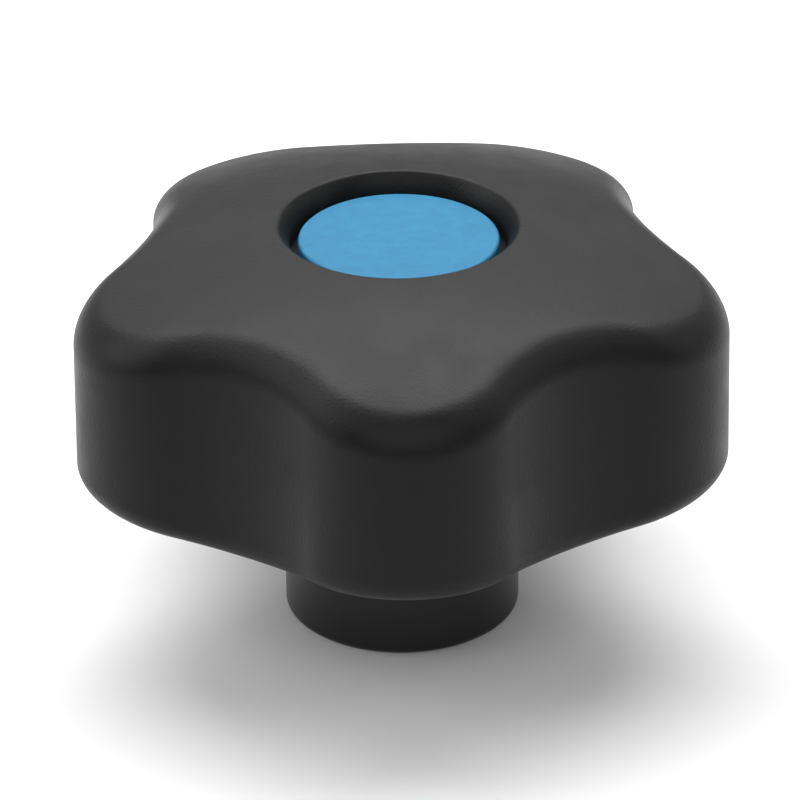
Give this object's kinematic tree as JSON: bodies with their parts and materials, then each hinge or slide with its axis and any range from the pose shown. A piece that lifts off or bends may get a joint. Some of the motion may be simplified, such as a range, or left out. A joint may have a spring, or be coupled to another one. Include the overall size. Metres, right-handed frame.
{
  "type": "lobed clamping knob",
  "caption": "Lobed clamping knob with a crowned grip, a hub holding a threaded bush, and a press-in cap in the top recess.",
  "frame": {"origin": "on the knob's axis, in the clamping face at the bottom of the hub", "axes": "+Z along the knob's axis, from the clamping face up to the cap; one lobe points towards -Y"},
  "size_m": [0.061, 0.0591, 0.04],
  "materials": {
    "black_polyamide": "fine matte moulded texture, near black",
    "brass_bush": "turned brass",
    "blue_cap": "matte light blue moulded plastic"
  },
  "bodies": {
    "root": {"knob_body": "black_polyamide", "threaded_bush": "brass_bush", "cap": "blue_cap"}
  },
  "joints": []
}
